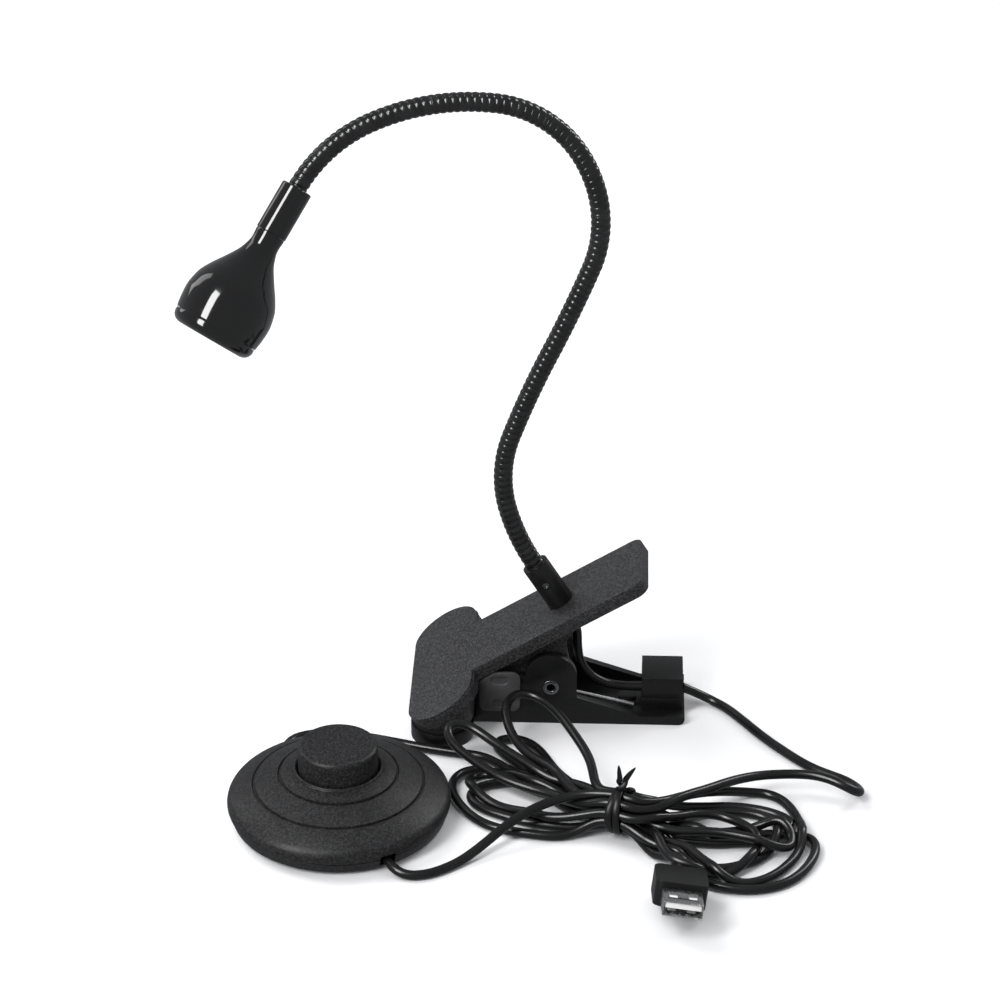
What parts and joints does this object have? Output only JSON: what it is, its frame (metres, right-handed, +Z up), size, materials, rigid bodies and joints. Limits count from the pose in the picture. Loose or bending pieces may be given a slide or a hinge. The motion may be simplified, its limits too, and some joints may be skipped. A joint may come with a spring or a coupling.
{
  "type": "uv curing lamp",
  "caption": "Clip-on curing lamp: a spring clip carries a gooseneck with a bell-shaped head, and its tied cord runs through a round foot switch to a USB plug.",
  "frame": {"origin": "on the table under the pivot pin, on the clip's middle plane", "axes": "+X from the jaws towards the handle and the cord clamp, +Z up, +Y to the clip's left seen from the jaws' side of the handle"},
  "size_m": [0.215, 0.1667, 0.2144],
  "materials": {
    "clip_plastic": "fine grained moulded black",
    "pad_rubber": "matte black rubber",
    "grip_rubber": "smooth grey rubber",
    "steel": "bright drawn steel",
    "neck_metal": "gloss black wound sleeve",
    "head_gloss": "piano black",
    "lens": "clear window",
    "board": "white board",
    "emitter": "clear emitter domes",
    "aluminium": "machined aluminium",
    "cord_jacket": "semi-gloss black jacket",
    "tie_plastic": "black twist tie",
    "plug_plastic": "satin black overmould",
    "white_plastic": "white moulded plastic",
    "contact_metal": "gold plated contact",
    "switch_plastic": "fine grained moulded black",
    "mechanism_plastic": "red-brown moulded switch body"
  },
  "bodies": {
    "base": {"lower_jaw": "clip_plastic", "lower_pad": "pad_rubber", "side_grip_near": "grip_rubber", "side_grip_far": "grip_rubber", "pivot_pin": "steel", "torsion_spring": "steel", "cord_clamp_base": "clip_plastic", "cord_clamp_cap": "clip_plastic", "cord_clamp_screws": "steel", "inner_lead": "cord_jacket", "lamp_lead": "cord_jacket", "front_lead": "cord_jacket", "rear_lead": "cord_jacket", "plug_lead": "cord_jacket", "loop_high": "cord_jacket", "loop_low": "cord_jacket", "cord_hank": "cord_jacket", "twist_tie": "tie_plastic", "plug_body": "plug_plastic", "plug_relief": "plug_plastic", "plug_shell": "steel", "plug_tongue": "white_plastic", "plug_contacts": "contact_metal", "switch_base": "switch_plastic", "switch_cover": "switch_plastic", "switch_spring": "steel", "switch_body": "mechanism_plastic", "switch_terminals": "contact_metal", "switch_screws": "steel", "switch_feet": "pad_rubber", "switch_clamps": "white_plastic"},
    "handle": {"upper_jaw": "clip_plastic", "upper_pad": "pad_rubber", "neck_socket": "clip_plastic", "socket_nut": "steel", "socket_screw": "steel", "neck_1": "neck_metal"},
    "neck_part_2": {"neck_2": "neck_metal"},
    "neck_part_3": {"neck_3": "neck_metal"},
    "neck_part_4": {"neck_4": "neck_metal"},
    "neck_part_5": {"neck_5": "neck_metal"},
    "neck_part_6": {"neck_6": "neck_metal"},
    "neck_part_7": {"neck_7": "neck_metal"},
    "head": {"neck_8": "neck_metal", "head_collar": "head_gloss", "collar_screw": "steel", "head_shell": "head_gloss", "head_bezel": "head_gloss", "head_lens": "lens", "reflector": "steel", "led_board": "board", "led_emitters": "emitter", "heat_sink": "aluminium"},
    "button": {"switch_button": "switch_plastic", "switch_plunger": "white_plastic"}
  },
  "joints": [
    {"name": "clamp_open", "type": "hinge", "parent": "base", "child": "handle", "pos_m": [0, 0, 0.0135], "axis": [0, 1, 0], "range_deg": [0, 38], "stiffness_Nm_per_rad": 0.35, "springref_deg": -68.75, "deforming": ["torsion_spring", "inner_lead"]},
    {"name": "neck_bend_1", "type": "hinge", "parent": "handle", "child": "neck_part_2", "pos_m": [-0.01446, 0, 0.07214], "axis": [0, -1, 0], "range_deg": [-20, 20]},
    {"name": "neck_bend_2", "type": "hinge", "parent": "neck_part_2", "child": "neck_part_3", "pos_m": [-0.01341, 0, 0.09871], "axis": [0, 1, 0], "range_deg": [-20, 20]},
    {"name": "neck_swing_3", "type": "hinge", "parent": "neck_part_3", "child": "neck_part_4", "pos_m": [-0.0013, 0, 0.12832], "axis": [-0.9063, 0, 0.4226], "range_deg": [-20, 20]},
    {"name": "neck_bend_4", "type": "hinge", "parent": "neck_part_4", "child": "neck_part_5", "pos_m": [0.0112, 0, 0.15777], "axis": [0, -1, 0], "range_deg": [-20, 20]},
    {"name": "neck_bend_5", "type": "hinge", "parent": "neck_part_5", "child": "neck_part_6", "pos_m": [0.00827, 0.00245, 0.19331], "axis": [0.146, 0.9877, -0.0561], "range_deg": [-20, 20]},
    {"name": "neck_swing_6", "type": "hinge", "parent": "neck_part_6", "child": "neck_part_7", "pos_m": [-0.01835, 0.00365, 0.21073], "axis": [0.1128, 0.1963, 0.974], "range_deg": [-20, 20]},
    {"name": "neck_bend_7", "type": "hinge", "parent": "neck_part_7", "child": "head", "pos_m": [-0.05624, -0.00172, 0.20606], "axis": [0.0939, -0.9421, 0.3219], "range_deg": [-20, 20]},
    {"name": "foot_press", "type": "slide", "parent": "base", "child": "button", "axis": [0, 0, -1], "range_m": [0, 0.003], "stiffness_N_per_m": 800, "springref_m": -0.004, "deforming": ["switch_spring"]}
  ]
}
